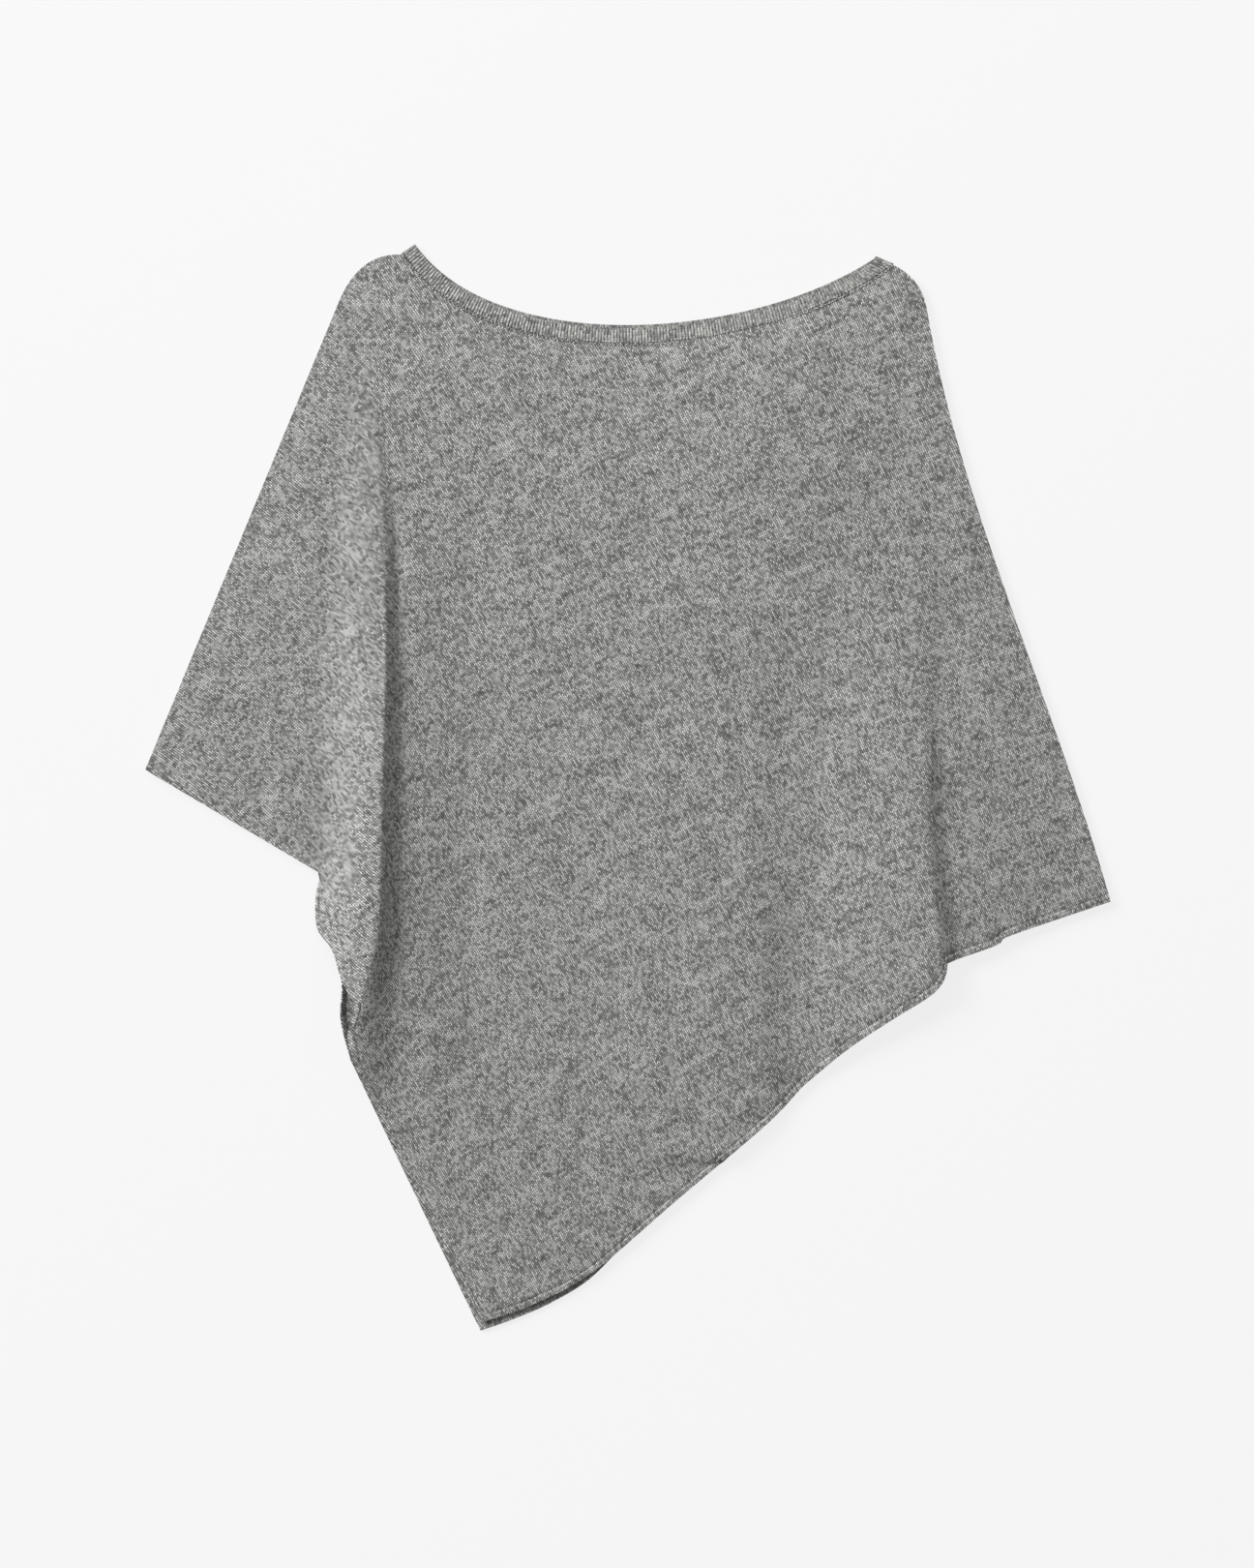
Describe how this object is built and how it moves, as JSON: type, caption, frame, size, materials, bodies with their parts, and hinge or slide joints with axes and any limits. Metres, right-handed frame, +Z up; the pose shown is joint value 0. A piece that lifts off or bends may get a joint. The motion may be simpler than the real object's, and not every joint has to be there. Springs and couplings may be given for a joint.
{
  "type": "knitted poncho sweater",
  "caption": "Asymmetric knitted poncho sweater laid flat, with a wide ribbed boat neck, closed arm edges, a pointed open hem and soft flutes.",
  "frame": {"origin": "middle of the bounding box's footprint, on the surface that the garment lies on", "axes": "+Z up out of that surface; +Y towards the neck; +X towards the longer arm edge"},
  "size_m": [0.776, 0.8748, 0.0169],
  "materials": {
    "jersey_knit": "heather grey plain jersey knit, soft and matt",
    "rib_knit": "heather grey fine rib knit, soft and matt"
  },
  "bodies": {
    "root": {"front_panel": "jersey_knit", "back_panel": "jersey_knit", "neckband": "rib_knit"}
  },
  "joints": []
}
